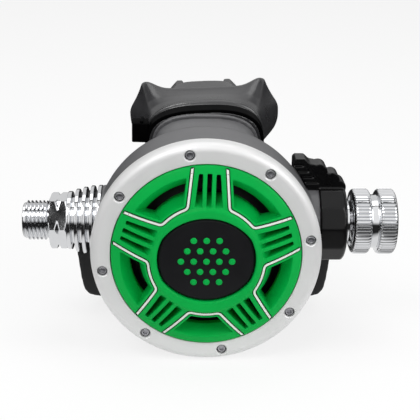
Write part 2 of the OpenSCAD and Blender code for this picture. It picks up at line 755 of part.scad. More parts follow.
module venturi_lever() place() color("#1e1e1e") difference() {
    union() {
        intersection() {
            on_valve(hub_left) rotate(hub_turn) cylinder(h = hub_right - hub_left, r = hub_r, $fn = 12);
            about_valve() union() {
                translate([0, hub_left]) square([hub_r - hub_round, hub_right - hub_left]);
                translate([0, hub_left]) square([hub_r, hub_right - hub_left - hub_round]);
                translate([hub_r - hub_round, hub_right - hub_round]) circle(hub_round);
            }
        }
        difference() {
            slab_y(valve_y - arm_t / 2, valve_y + arm_t / 2) lever_arm_outline();
            case_body(-0.35, 0);
            // Finger grooves across the front of the arm
            for (z = finger_grooves) translate([30, valve_y - arm_t / 2 - 0.5, z - 0.45])
                cube([10.2 - 0.9 * (z - finger_grooves[0]), 1.4, 0.9]);
        }
    }
    on_valve(hub_left - 5) cylinder(h = sleeve_end + 0.2 - hub_left + 5, r = sleeve_r + 0.03);
    on_valve(0) cylinder(h = far, r = barrel_r + 0.08);
    valve_ring(30, hub_left - eps, right_boss_r + 0.35, 0);
}

module venturi_vane() place() color("#2a2a2a") {
    valve_ring(22, sleeve_end, sleeve_r, barrel_r + 0.08);
    valve_ring(22, 24, 11.3, barrel_r + 0.08);
    // Curved flap that turns the air stream towards or away from the mouth tube
    intersection() {
        valve_ring(4, 24, 11.3, 9.9);
        slab_x(0, 30) translate([valve_y, valve_z]) polygon([[0, 0], [5, 18], [18, 18], [18, 5]]);
    }
}

module lever_washer() place() color("#303030")
    valve_ring(barrel_right + 0.02, gland_flange - 0.02, 8.9, 6.25);

// ---------- Exhaust valve and tee ----------

valve_disc_r = 10.5;
tee_front = 42;
tee_back = 58.5;
tee_top = 5;
tee_middle_w = 33;
tee_wing_y = 40;

module exhaust_valve() place() color("#3a3a3a") on_port() {
    translate([0, 0, 0.2]) cylinder(h = 0.8, r = valve_disc_r);
    translate([0, 0, -3]) cylinder(h = 3.3, r = 1.6);
    translate([0, 0, -3.8]) cylinder(h = 1.4, r1 = 1.6, r2 = 2.3);
}

// Half of the tee's outline seen from the front, as (x, z), inset by c
function tee_front_line(c) = [
    [22 - c / 2, -stand_h + c], [30 - c / 2, -36.5 + c], [36 - c / 2, -34 + c], [41 - c / 2, -33.3 + c],
    [44.4 - c, -32.6 + c], [46.3 - c, -30.2 + c / 2], [47.3 - c, -25.5], [tee_half_w - c, -15],
    [tee_half_w - c, tee_top - 2 - c], [tee_half_w - 2 - c, tee_top - c]];
function flip(line) = [for (i = [len(line) - 1:-1:0]) [-line[i][0], line[i][1]]];

// The tee's outline seen from the side, as (y, z), inset by c
function tee_side_line(c) = [
    [19 + 2 * c, -stand_h + c], [49 - c / 2, -stand_h + c], [55.5 - c, -36 + c],
    [tee_back - c, -28 + c], [tee_back - c, tee_top - 3 - c], [tee_back - 3 - c, tee_top - c],
    [tee_front + 1 + c, tee_top - c], [tee_front + c, tee_top - 1 - c], [tee_front + c, -11 - c],
    [36.5 + c, -21 - c], [30 + c, -31.5 - c / 2], [22 + 2 * c, -38 + c / 2]];

// The tee inset by c: its middle wraps under the case, its two wings stay behind it
module tee_block(c) intersection() {
    slab_y(0, far) polygon(concat(tee_front_line(c), flip(tee_front_line(c))));
    slab_x(-far, far) polygon(tee_side_line(c));
    union() {
        translate([c - tee_middle_w, 0, -far / 2]) cube([2 * (tee_middle_w - c), far, far]);
        translate([-far / 2, tee_wing_y + c, -far / 2]) cube(far);
    }
}

module exhaust_tee() place() color("#262626") difference() {
    tee_block(0);
    difference() {
        tee_block(tee_wall);
        for (s = [-1, 1]) translate([s * tee_screw_x, tee_front - 3, 0]) rotate([-90, 0, 0])
            cylinder(h = 8, r = 3.6);
    }
    // Outlets at both ends
    slab_x(-60, 60) polygon([[46, -24], [55, -24], [55.5, 1], [45.5, 1]]);
    case_body(-0.15, 0);
    for (s = [-1, 1]) translate([s * tee_screw_x, tee_front - 4, 0]) rotate([-90, 0, 0])
        cylinder(h = 14, r = 1.6);
}

module tee_screws() place() color("#8c8c90") for (s = [-1, 1])
    translate([s * tee_screw_x, case_rear - 1.6, 0]) rotate([-90, 0, 0]) {
        cylinder(h = 7.7, r = 1.2);
        translate([0, 0, 7.65]) difference() {
            cylinder(h = 2, r = 2.6);
            translate([0, 0, 0.9]) cylinder(h = 3, r = 1.2, $fn = 6);
        }
    }

// ---------- Mouthpiece and its tie ----------

collar_a = 21.2;
collar_b = 14.4;
soft_points = 64;
groove_start = 1.7;
groove_end = 6.7;

// Rings of the mouthpiece along its axis: place, half width, half height, squareness,
// height of the shield's upper corners, and how far its sides bend back
outer_rings = [
    [1.2, collar_a - 0.3, collar_b - 0.2, 2.8, 0, 0],
    [groove_start - 0.1, collar_a - 0.3, collar_b - 0.2, 2.8, 0, 0],
    [groove_start, collar_a - 0.6, collar_b - 0.7, 2.8, 0, 0],
    [groove_end, collar_a - 0.6, collar_b - 0.7, 2.8, 0, 0],
    [groove_end + 0.1, 21.9, 15, 2.7, 0, 0],
    [groove_end + 0.8, 21.9, 15, 2.7, 0, 0],
    [groove_end + 1, 21.1, 14.3, 2.7, 0, 0],
    [groove_end + 1.7, 21.1, 14.3, 2.7, 0, 0],
    [groove_end + 1.9, 22.4, 15.5, 2.7, 0, 0],
    [groove_end + 3.9, 22.4, 15.5, 2.7, 0, 0],
    [groove_end + 4.1, 21.7, 14.6, 2.7, 0, 0],
    [12.2, 21.9, 14.5, 2.7, 0, 0.3],
    [15, 22.8, 14.3, 2.7, 0.5, 1.4],
    [18, 24.8, 14, 2.7, 1.9, 3],
    [20.5, 27, 13.9, 2.7, 3.8, 5],
    [22.4, shield_a - 0.5, shield_b - 2.1, 2.7, 5.4, 7],
    [23.6, shield_a, shield_b - 1.9, 2.7, 5.7, 7],
    [24.8, shield_a - 0.5, shield_b - 2.2, 2.7, 5.4, 7],
    [25.6, shield_a - 2.5, shield_b - 3.6, 2.7, 4.6, 7],
    [26, 20.5, 12, 2.8, 1, 7],
    [28, 16.6, 11, 3, 0, 5],
    [34, 14.9, 10.7, 3.4, 0, 1],
    [38.4, 14, 10.4, 3.6, 0, 0],
    [39, 13.5, 9.9, 3.6, 0, 0]];
inner_rings = [
    [39, 12.4, 8.6, 2.8, 0, 0],
    [37, 12, 8.2, 2.8, 0, 0],
    [24, 12.4, 8.2, 2.8, 0, 0],
    [14, 14.6, 8.6, 2.8, 0, 0]];

// Rings of the bore that grips the mouth tube, which keep the tube's own turn
grip_rings = [
    [tube_end + 0.2, 17, 10.6, 2.8, 0, 0],
    [tube_end + 0.1, tube_a + 0.1, tube_b + 0.1, neck_e, 0, 0],
    [1.2, tube_a + 0.1, tube_b + 0.1, neck_e, 0, 0]];
ear_at = 0.89;
ear_inner = 0.22;
ear_outer = 0.06;
ear_pinch = 0.016;

// One ring of n points; the corners rise by g[4], which draws the upper sides in, and
// the sides lie back by g[5]
function ear(x, g) = let (d = abs(x) / g[1] - ear_at)
    g[4] * exp(-pow(d / (d < 0 ? ear_inner : ear_outer), 2));
function ear_side(z, g) = 1 - ear_pinch * g[4] * pow(min(max((z / g[2] - 0.05) / 0.5, 0), 1), 2);
function soft_ring(g, n) = [for (i = [0:n - 1])
    let (p = oval_point((i + 0.5) * 360 / n, g[1], g[2], g[3]))
        [p[0] * ear_side(p[1], g), g[0] + g[5] * pow(p[0] / shield_a, 2),
         p[1] + (p[1] > 0 ? ear(p[0], g) : 0)]];
function rolled(p, a) = [p[0] * cos(a) - p[2] * sin(a), p[1], p[0] * sin(a) + p[2] * cos(a)];

// Ridge and biting plate held by the teeth on one side
module bite_tab(s) mirror([s < 0 ? 1 : 0, 0, 0]) translate([tab_x, 0, 0]) intersection() {
    slab_y(25, mouth_len) polygon([
        [-2.2, -tab_half_h + 3], [-1, -tab_half_h], [tab_ridge_x, -tab_half_h], [4.4, -2.8], [10.6, -1.8],
        [10.6, 1.8], [4.4, 2.8], [tab_ridge_x, tab_half_h], [-1, tab_half_h], [-2.2, tab_half_h - 3]]);
    translate([0, 0, -20]) linear_extrude(40) polygon([
        [-2.3, 37.5], [2.8, 36], [2.8, 27], [10.7, 28], [10.7, 44], [7.5, 48.2],
        [tab_ridge_x, mouth_len], [-2.3, mouth_len]]);
}

module mouthpiece() place() color("#3c3c3c") on_mouth() rotate([0, -mouth_roll, 0]) {
    rings = concat(
        [for (g = concat(outer_rings, inner_rings)) soft_ring(g, soft_points)],
        [for (g = grip_rings) [for (p = soft_ring(g, soft_points)) rolled(p, -mouth_roll)]]);
    polyhedron(points = [for (r = rings) each r], faces = ring_faces(len(rings), soft_points, true));
    for (s = [-1, 1]) bite_tab(s);
}

tie_t = 1.3;
tie_w = 4.6;

module mouthpiece_tie() place() color("#161616") on_mouth() rotate([0, -mouth_roll, 0]) {
    slab_y(groove_start + 0.2, groove_start + 0.2 + tie_w) difference() {
        polygon(oval(collar_a - 0.4 + tie_t, collar_b - 0.5 + tie_t, 2.8, 48));
        polygon(oval(collar_a - 0.4, collar_b - 0.5, 2.8, 48));
    }
    // Ratchet head on the left flank
    translate([-27.2, groove_start + 0.1, 2.9]) rotate([0, 4, 0]) cube([6.1, 4.8, 8]);
}

case();
front_ring();
ring_screws();
purge_cover();
cover_trim();
purge_button();
button_grips();
purge_spring();
diaphragm();
diaphragm_disc();
demand_lever();
valve_barrel();
inlet_fitting();
inlet_oring();
heat_sink();
seat_orifice();
orifice_oring();
poppet();
poppet_seat();
poppet_nut();
poppet_spring();
spring_pad();
adjust_screw();
screw_oring();
barrel_gland();
adjust_knob();
knob_screw();
venturi_lever();
venturi_vane();
lever_washer();
exhaust_valve();
exhaust_tee();
tee_screws();
mouthpiece();
mouthpiece_tie();
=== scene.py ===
import math

import bmesh
import bpy
from mathutils import Matrix, Quaternion, Vector


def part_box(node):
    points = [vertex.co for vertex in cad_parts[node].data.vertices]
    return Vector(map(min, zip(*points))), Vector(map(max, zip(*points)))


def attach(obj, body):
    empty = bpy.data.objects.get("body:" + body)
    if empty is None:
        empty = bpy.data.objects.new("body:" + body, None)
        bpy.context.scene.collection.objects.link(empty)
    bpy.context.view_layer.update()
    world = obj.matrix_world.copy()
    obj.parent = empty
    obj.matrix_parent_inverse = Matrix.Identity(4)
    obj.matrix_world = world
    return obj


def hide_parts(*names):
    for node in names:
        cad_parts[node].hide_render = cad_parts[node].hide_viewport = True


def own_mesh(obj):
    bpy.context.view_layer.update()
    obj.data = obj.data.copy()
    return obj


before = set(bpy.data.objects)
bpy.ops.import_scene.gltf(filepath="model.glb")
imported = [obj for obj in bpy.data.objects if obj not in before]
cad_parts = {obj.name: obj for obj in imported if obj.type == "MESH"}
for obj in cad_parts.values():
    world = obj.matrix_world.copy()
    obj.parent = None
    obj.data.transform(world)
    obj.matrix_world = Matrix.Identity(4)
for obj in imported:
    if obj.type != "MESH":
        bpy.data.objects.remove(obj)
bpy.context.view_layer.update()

# Camera and studio: a long lens a forearm away, a little above the axis of the cover, a
# white sweep under the regulator, a large soft box to each side and a wide one overhead.
MM = 0.001


def mm(x, y, z):
    """A place given in millimetres, as a vector in metres."""
    return Vector((x, y, z)) * MM


def srgb(code):
    """A colour as sRGB hex, turned to the linear values that shaders take."""
    parts = [int(code[i:i + 2], 16) / 255 for i in (1, 3, 5)]
    return [p / 12.92 if p <= 0.04045 else ((p + 0.055) / 1.055) ** 2.4 for p in parts] + [1.0]


def add(tree, kind, links=None, **settings):
    """Adds a node of that kind: settings are its properties, or its sockets by name or number."""
    made = tree.nodes.new(kind)
    for key, value in settings.items():
        if hasattr(made, key):
            setattr(made, key, value)
        else:
            made.inputs[int(key[1:]) if key[1:].isdigit() else key.replace("_", " ")].default_value = value
    for key, source in (links or {}).items():
        tree.links.new(source, made.inputs[key])
    return made


# Where the lens points, and its long lens and full-frame sensor in millimetres
AIM = mm(-0.35, -43.77, 56.8)
LENS = 85.5
SENSOR = 36
CAMERA_DISTANCE = 333 * MM
CAMERA_UP = math.radians(19.6)
CAMERA_SIDE = math.radians(-1.25)
CAMERA_ROLL = math.radians(0.6)
back = Vector((math.sin(CAMERA_SIDE) * math.cos(CAMERA_UP),
               -math.cos(CAMERA_SIDE) * math.cos(CAMERA_UP), math.sin(CAMERA_UP)))
camera_data = bpy.data.cameras.new("camera")
camera_data.sensor_width = SENSOR
camera_data.lens = LENS
camera_data.clip_start = 0.01
camera = bpy.data.objects.new("camera", camera_data)
camera.location = AIM + back * CAMERA_DISTANCE
aimed = (-back).to_track_quat("-Z", "Y")
camera.rotation_euler = (aimed @ Quaternion((0, 0, 1), CAMERA_ROLL)).to_euler()
bpy.context.scene.collection.objects.link(camera)
bpy.context.scene.camera = camera

# Middle of the regulator, where all lamps point
LIT = Vector((0, 0, 0.04))


def soft_box(name, place, size, power):
    """A lamp with a rectangular face at place, its width and height in metres, its power in watts."""
    lamp = bpy.data.lights.new(name, "AREA")
    lamp.shape = "RECTANGLE"
    lamp.size, lamp.size_y = size
    lamp.energy = power
    holder = bpy.data.objects.new(name, lamp)
    holder.location = place
    holder.rotation_euler = (LIT - Vector(place)).to_track_quat("-Z", "Y").to_euler()
    bpy.context.scene.collection.objects.link(holder)


soft_box("key_box", (-0.35, -0.45, 0.75), (0.5, 0.4), 2.8)
soft_box("fill_box", (0.6, -0.35, 0.45), (0.4, 0.5), 2.0)
soft_box("top_box", (0.0, 0.15, 0.8), (0.7, 0.35), 1.6)

world = bpy.data.worlds.new("studio")
world.use_nodes = True
bpy.context.scene.world = world
sky = world.node_tree
sky.nodes.clear()
path = add(sky, "ShaderNodeLightPath")
seen = add(sky, "ShaderNodeMath", {0: path.outputs["Is Camera Ray"],
                                   1: path.outputs["Is Transmission Ray"]}, operation="MAXIMUM")


def shades(tree, value, *stops):
    """Greys along a value from -1 to 1: each stop is a place and its brightness."""
    half = add(tree, "ShaderNodeMapRange", {"Value": value}, From_Min=-1.0, From_Max=1.0)
    ramp = add(tree, "ShaderNodeValToRGB", {0: half.outputs[0]})
    band = ramp.color_ramp.elements
    while len(band) < len(stops):
        band.new(0.5)
    for stop, (at, level) in zip(band, stops):
        stop.position = (at + 1) / 2
        stop.color = (level, level, level, 1)
    return ramp.outputs[0]


# What polished metal sees: a white room, dark along the horizon, in a strip overhead and in a
# slit between the two front boxes. Everything else gets an even grey light.
DARK = 0.02
EVEN_GREY = 0.45
direction = add(sky, "ShaderNodeTexCoord")
way = add(sky, "ShaderNodeSeparateXYZ", {0: direction.outputs["Generated"]})
horizon = shades(sky, way.outputs["Z"], (-1, DARK), (0.04, DARK), (0.26, 1.0))
overhead = shades(sky, way.outputs["Y"], (-0.1, 1.0), (-0.05, 0.05))
behind = shades(sky, way.outputs["Y"], (0.3, 0.0), (0.34, 0.75))
slit = shades(sky, way.outputs["X"], (-0.175, 1.0), (-0.165, DARK), (-0.11, DARK), (-0.1, 1.0))
strips = add(sky, "ShaderNodeMath", {0: overhead, 1: slit}, operation="MULTIPLY")
sides = add(sky, "ShaderNodeMath", {0: strips.outputs[0], 1: behind}, operation="MAXIMUM")
walls = add(sky, "ShaderNodeMath", {0: horizon, 1: sides.outputs[0]}, operation="MULTIPLY")
level = add(sky, "ShaderNodeMix", {"Factor": path.outputs["Is Glossy Ray"], "B": walls.outputs[0]},
            A=EVEN_GREY)
room = add(sky, "ShaderNodeBackground", {"Color": level.outputs[0]}, Strength=1.0)
white = add(sky, "ShaderNodeBackground", Color=(1, 1, 1, 1), Strength=1.0)
both = add(sky, "ShaderNodeMixShader", {0: seen.outputs[0], 1: room.outputs[0], 2: white.outputs[0]})
add(sky, "ShaderNodeOutputWorld", {0: both.outputs[0]})

# White paper under the regulator: matt, but mostly glowing where the lens sees it, so that it
# stays white
SWEEP_HALF = 3
OWN_WHITE = 0.8
sweep_mesh = bpy.data.meshes.new("sweep")
sheet = bmesh.new()
bmesh.ops.create_grid(sheet, x_segments=1, y_segments=1, size=SWEEP_HALF)
sheet.to_mesh(sweep_mesh)
sheet.free()
sweep = bpy.data.objects.new("sweep", sweep_mesh)
bpy.context.scene.collection.objects.link(sweep)
paper = bpy.data.materials.new("white_paper")
paper.use_nodes = True
tree = paper.node_tree
tree.nodes.clear()
path = add(tree, "ShaderNodeLightPath")
matt = add(tree, "ShaderNodeBsdfDiffuse", Color=srgb("#FAFAFA"))
glow = add(tree, "ShaderNodeEmission", Color=(1, 1, 1, 1), Strength=1.0)
share = add(tree, "ShaderNodeMath", {0: path.outputs["Is Camera Ray"]}, operation="MULTIPLY",
            _1=OWN_WHITE)
mixed = add(tree, "ShaderNodeMixShader", {0: share.outputs[0], 1: matt.outputs[0], 2: glow.outputs[0]})
# In metal the paper is pale under the regulator and falls off into the dark of the room
spot = add(tree, "ShaderNodeVectorMath", {0: add(tree, "ShaderNodeTexCoord").outputs["Object"]},
           operation="LENGTH")
fall = shades(tree, spot.outputs["Value"], (0.085, 0.85), (0.12, DARK))
mirror = add(tree, "ShaderNodeEmission", {"Color": fall}, Strength=1.0)
ends = add(tree, "ShaderNodeMixShader", {0: path.outputs["Is Glossy Ray"], 1: mixed.outputs[0],
                                         2: mirror.outputs[0]})
add(tree, "ShaderNodeOutputMaterial", {0: ends.outputs[0]})
sweep_mesh.materials.append(paper)

bpy.context.scene.view_settings.view_transform = "Standard"

# Case: one injection moulding in glass-filled nylon, a round bowl with two bosses for the
# valve, a neck and a mouth tube. The mould leaves soft corners and a fine satin grain.
LOW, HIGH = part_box("front_ring")
RING_LIP = 0.2
# Pieces are drawn in millimetres from the middle of the cover's rim, then put in place
CENTRE = Vector(((LOW.x + HIGH.x) / 2, LOW.y + RING_LIP * MM, (LOW.z + HIGH.z) / 2))
PLACE = Matrix.Translation(CENTRE) @ Matrix.Scale(MM, 4)
QUARTER = math.radians(90)
# Points closer than this are one, in millimetres on drawings and in metres on CAD solids
WELD = 0.0005
WELD_SOLID = 1e-6
# Where the noise that makes patches starts and stops to change the colour and the gloss
PATCH_LOW = 0.3
PATCH_HIGH = 0.7


def finish(name, colour, roughness, grain, depth, patch=8.0, spread=0.05, shade=0.86, edge=0.0, **shader):
    """A surface with a fine grain and soft patches, all in millimetres: depth is how deep the grain
    is, spread how much the gloss changes, shade how dark the patches get, edge how soft edges look.
    Real grain and polish are mostly finer than the picture can show, so they are drawn coarser."""
    made = bpy.data.materials.new(name)
    made.use_nodes = True
    tree = made.node_tree
    tree.nodes.clear()
    place = add(tree, "ShaderNodeTexCoord").outputs["Object"]
    patches = add(tree, "ShaderNodeTexNoise", {"Vector": place}, Scale=1 / (patch * MM), Detail=4.0)
    grit = add(tree, "ShaderNodeTexNoise", {"Vector": place}, Scale=1 / (grain * MM), Detail=2.0)
    tone = add(tree, "ShaderNodeValToRGB", {"Fac": patches.outputs["Fac"]})
    light = srgb(colour)
    tone.color_ramp.elements[0].position = PATCH_LOW
    tone.color_ramp.elements[0].color = [c * shade for c in light[:3]] + [1.0]
    tone.color_ramp.elements[1].position = PATCH_HIGH
    tone.color_ramp.elements[1].color = light
    gloss = add(tree, "ShaderNodeMapRange", {"Value": patches.outputs["Fac"]}, From_Min=PATCH_LOW,
                From_Max=PATCH_HIGH, To_Min=max(roughness - spread, 0.02), To_Max=roughness + spread)
    relief = add(tree, "ShaderNodeBump", {"Height": grit.outputs["Fac"]}, Distance=depth * MM, Strength=1.0)
    if edge:
        soft = add(tree, "ShaderNodeBevel", samples=4, Radius=edge * MM)
        tree.links.new(soft.outputs[0], relief.inputs["Normal"])
    skin = add(tree, "ShaderNodeBsdfPrincipled",
               {"Base Color": tone.outputs[0], "Roughness": gloss.outputs[0], "Normal": relief.outputs[0]},
               **shader)
    add(tree, "ShaderNodeOutputMaterial", {"Surface": skin.outputs[0]})
    return made


def dress(material, *nodes):
    """Gives CAD solids whose shape is right their material."""
    for node in nodes:
        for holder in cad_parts[node].material_slots:
            holder.material = material


def piece(name, made, material, nodes, body="housing", sharp=32, placed=False):
    """Puts what was drawn in case millimetres, or is placed, for the CAD nodes named, riding on
    body. Edges sharper than sharp degrees stay crisp."""
    if not placed:
        bmesh.ops.remove_doubles(made, verts=made.verts, dist=WELD)
        bmesh.ops.recalc_face_normals(made, faces=made.faces)
        made.transform(PLACE)
    mesh = bpy.data.meshes.new(name)
    made.to_mesh(mesh)
    made.free()
    mesh.shade_smooth()
    mesh.set_sharp_from_angle(angle=math.radians(sharp))
    mesh.materials.append(material)
    shown = bpy.data.objects.new(name, mesh)
    bpy.context.scene.collection.objects.link(shown)
    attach(shown, body)
    if nodes:
        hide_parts(*nodes)
    return shown


def moulded(drawn, cell, passes, most):
    """Gives a closed mesh in metres the soft corners that a mould leaves: cell is the size of the
    details kept, in millimetres, and most the number of triangles that stay."""
    rough = bpy.data.meshes.new("rough")
    bmesh.ops.remove_doubles(drawn, verts=drawn.verts, dist=WELD_SOLID)
    drawn.to_mesh(rough)
    drawn.free()
    blank = bpy.data.objects.new("blank", rough)
    bpy.context.scene.collection.objects.link(blank)
    grid = blank.modifiers.new("grid", "REMESH")
    grid.mode = "VOXEL"
    grid.voxel_size = cell * MM
    ease = blank.modifiers.new("ease", "SMOOTH")
    ease.factor = 0.5
    ease.iterations = passes
    fine = bpy.data.meshes.new_from_object(blank.evaluated_get(bpy.context.evaluated_depsgraph_get()))
    blank.modifiers.clear()
    blank.data = fine
    thin = blank.modifiers.new("thin", "DECIMATE")
    thin.ratio = min(1.0, most / (2 * len(fine.polygons)))
    slim = bpy.data.meshes.new_from_object(blank.evaluated_get(bpy.context.evaluated_depsgraph_get()))
    made = bmesh.new()
    made.from_mesh(slim)
    bpy.data.objects.remove(blank)
    for old in (rough, fine, slim):
        bpy.data.meshes.remove(old)
    bmesh.ops.recalc_face_normals(made, faces=made.faces)
    return made


def solid_of(node):
    """A copy of a CAD solid to work on."""
    made = bmesh.new()
    made.from_mesh(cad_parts[node].data)
    return made


# Glass-filled nylon off a spark-eroded mould: dark grey, satin, never a sharp highlight
glass_nylon = finish("glass_filled_nylon", "#626264", 0.38, grain=0.35, depth=0.012, patch=11)
piece("case_body", moulded(solid_of("case"), 0.4, 3, 170000), glass_nylon, ["case"],
      sharp=50, placed=True)

# Exhaust valve and tee: a soft silicone flap on the case's spider, under a tee moulded in a
# black elastomer that leads the bubbles past both cheeks. Two screws hold it from behind.

# Thin silicone: dark grey with a soft sheen
soft_flap = finish("flap_silicone", "#39393B", 0.5, grain=0.2, depth=0.004)
# Elastomer off an etched mould: near black, so evenly matt that its corners hardly light up
tee_elastomer = finish("tee_elastomer", "#2A2A2B", 0.5, grain=0.4, depth=0.014, patch=14,
                       Specular_IOR_Level=0.25)
piece("exhaust_tee", moulded(solid_of("exhaust_tee"), 0.6, 8, 120000), tee_elastomer,
      ["exhaust_tee"], sharp=50, placed=True)


def turned(outline, steps=96, along="X"):
    """A body of revolution: outline lists (radius, place along the axis, rounding) of its section."""
    made = bmesh.new()
    corners = [made.verts.new((at, radius, 0) if along == "X" else (radius, at, 0))
               for radius, at, _ in outline]
    for pair in zip(corners, corners[1:]):
        made.edges.new(pair)
    if outline[0][0] or outline[-1][0]:
        made.edges.new((corners[-1], corners[0]))
    for size in sorted({row[2] for row in outline if row[2]}):
        bmesh.ops.bevel(made, geom=[c for c, row in zip(corners, outline) if row[2] == size],
                        offset=size, offset_type="OFFSET", segments=4, profile=0.5, affect="VERTICES",
                        clamp_overlap=True, material=-1)
    bmesh.ops.spin(made, geom=made.verts[:] + made.edges[:], cent=(0, 0, 0), angle=math.tau, steps=steps,
                   axis=(1, 0, 0) if along == "X" else (0, 1, 0), use_merge=True)
    bmesh.ops.remove_doubles(made, verts=made.verts, dist=WELD)
    return made


def into(whole, part, where=None):
    """Adds one bmesh to another, moved there first."""
    if where is not None:
        part.transform(where)
    passed = bpy.data.meshes.new("passed")
    part.to_mesh(passed)
    part.free()
    whole.from_mesh(passed)
    bpy.data.meshes.remove(passed)


# The exhaust port lies at the foot of the case's back and faces down and backwards
PORT_AT = (0, 39.07, -27.61)
PORT_LEAN = math.radians(-115)
PORT = Matrix.Translation(PORT_AT) @ Matrix.Rotation(PORT_LEAN, 4, "X")
flap = turned([(0, -3.8, 0), (2.3, -3.8, 0.3), (1.6, -2.4, 0.3), (1.6, 0.2, 0.4), (10.5, 0.2, 0.1),
               (10.5, 0.75, 0.2), (3.0, 1.0, 0.8), (0, 1.0, 0)], 72, "Y")
flap.transform(PORT @ Matrix.Rotation(QUARTER, 4, "X"))
piece("exhaust_flap", flap, soft_flap, ["exhaust_valve"])


def socket_screw(head, height, socket, depth, shank, length):
    """A screw along Y, its domed head with a hexagon socket at 0 and its tip at length. Head,
    socket and shank are radii; height is the head's, depth the socket's."""
    made = turned([(0, depth, 0), (socket, depth, 0), (socket, 0, 0.05), (head * 0.72, 0.06, 0.2),
                   (head, 0.75, 0.3), (head, height, 0.1), (shank, height, 0), (shank, length - 0.4, 0),
                   (shank - 0.3, length, 0), (0, length, 0)], 48, "Y")
    flat = socket * math.cos(math.radians(30))
    for corner in made.verts:
        away = math.hypot(corner.co.x, corner.co.z)
        if abs(away - socket) < 0.01 and corner.co.y < depth + 0.01:
            turn = math.degrees(math.atan2(corner.co.z, corner.co.x)) % 60
            corner.co.xz = corner.co.xz * (flat / math.cos(math.radians(turn - 30)) / away)
    return made


# A2 stainless steel, cold headed and tumbled: grey, a little dull, bright on its edges
stainless = finish("tumbled_stainless", "#BEBEC2", 0.32, grain=0.25, depth=0.006, patch=2, edge=0.1,
                   Metallic=1.0)
TEE_HEAD_BACK = 49.05
TEE_SCREW_X = 12
tee_pair = bmesh.new()
for x in (-TEE_SCREW_X, TEE_SCREW_X):
    into(tee_pair, socket_screw(head=2.6, height=2, socket=1.2, depth=1.1, shank=1.2, length=9.65),
         Matrix.Translation((x, TEE_HEAD_BACK, 0)) @ Matrix.Rotation(math.pi, 4, "X"))
piece("tee_screw_pair", tee_pair, stainless, ["tee_screws"])

# Hose inlet: a brass fitting with the hose's thread, two hexagon bands for the spanner and a
# bored socket for the hose plug, and on it a sleeve with five cooling fins. Turned from bar,
# polished and chromed, so both mirror the studio.
KNOB_LOW, KNOB_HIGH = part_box("adjust_knob")
VALVE = (KNOB_LOW + KNOB_HIGH) / (2 * MM) - CENTRE / MM
VALVE.x = 0
ON_VALVE = Matrix.Translation(VALVE)
# Chrome on polished brass: a mirror, so it shows the studio in hard black and white
chrome = finish("polished_chrome", "#E4E5E7", 0.07, grain=0.5, depth=0.0012, patch=5, spread=0.03,
                shade=0.95, Metallic=1.0)
# Hose thread of 14.3 mm with 18 turns to the inch, its turns dying out at both ends
THREAD_ROOT = 6.3
THREAD_CREST = 7.14
THREAD_PITCH = 1.411
THREAD_FROM = -64.7
THREAD_TO = -56.3
THREAD_FADE = 0.7
# Its ridge is a triangle this high at this slope, in shares of its height and pitch, cut off at 1
RIDGE_PEAK = 1.35
RIDGE_SLOPE = 3.2
# The two hexagon bands, drawn as one round blank: chamfered at its ends, with a notch between
HEX_FLAT = 8.95
HEX_BLANK = 10.4
HEX_FROM = -55.6
HEX_TO = -49.3
HEX_MIDDLE = (HEX_FROM + HEX_TO) / 2
CHAMFER_R = 9.5
CHAMFER_SLOPE = 1.7
NOTCH_R = 9.3
NOTCH_SLOPE = 1.6
NOTCH_FLOOR = 0.15
# The thread and the hexagon are shaped from rings drawn close together
THREAD_ROWS = 76
THREAD_ROW_STEP = 0.118
HEX_ROWS = 45
thread_rows = [(THREAD_ROOT, -65 + THREAD_ROW_STEP * row, 0) for row in range(THREAD_ROWS)]
hex_rows = [(HEX_BLANK, HEX_FROM + (HEX_TO - HEX_FROM) * row / HEX_ROWS, 0) for row in range(HEX_ROWS + 1)]
stub = [(4.8, -64.7, 0), (5.4, -65.3, 0), (6.05, -65.3, 0.1)]
shank = [(6.12, -49.28, 0), (6.12, -34.9, 0), (4.72, -34.9, 0), (4.72, -33.1, 0), (6.12, -33.1, 0),
         (6.12, -30, 0.3), (2.6, -30, 0), (2.6, -57.3, 0), (4.8, -57.3, 0)]
inlet = turned(stub + thread_rows + [(THREAD_ROOT, -55.62, 0)] + hex_rows + shank, 144)


def blend_low(a, b, width):
    """The lower of two radii, with a corner rounded by about width where they meet."""
    # Both radii are taken from this one, so that exp() stays within its range
    near = 9
    return near - width * math.log(math.exp((near - a) / width) + math.exp((near - b) / width))


for corner in inlet.verts:
    away = math.hypot(corner.co.y, corner.co.z)
    turn = math.degrees(math.atan2(corner.co.z, corner.co.y))
    x = corner.co.x
    if abs(away - HEX_BLANK) < 0.001:
        chamfer = CHAMFER_R + CHAMFER_SLOPE * min(x - HEX_FROM, HEX_TO - x)
        notch = NOTCH_R + NOTCH_SLOPE * max(abs(x - HEX_MIDDLE) - NOTCH_FLOOR, 0)
        flat = HEX_FLAT / math.cos(math.radians(turn % 60 - 30))
        reach = blend_low(flat, min(chamfer, notch), 0.05)
    elif abs(away - THREAD_ROOT) < 0.001 and x < THREAD_TO:
        phase = (x / THREAD_PITCH - turn / 360) % 1
        ridge = min(max(RIDGE_PEAK - RIDGE_SLOPE * abs(phase - 0.5), 0), 1)
        ends = min(max((x - THREAD_FROM) / THREAD_FADE, 0), max((THREAD_TO - x) / THREAD_FADE, 0), 1)
        reach = THREAD_ROOT + (THREAD_CREST - THREAD_ROOT) * ridge * ends
    else:
        continue
    corner.co.yz = corner.co.yz * (reach / away)
inlet.transform(ON_VALVE)
piece("hose_inlet", inlet, chrome, ["inlet_fitting"], sharp=18)

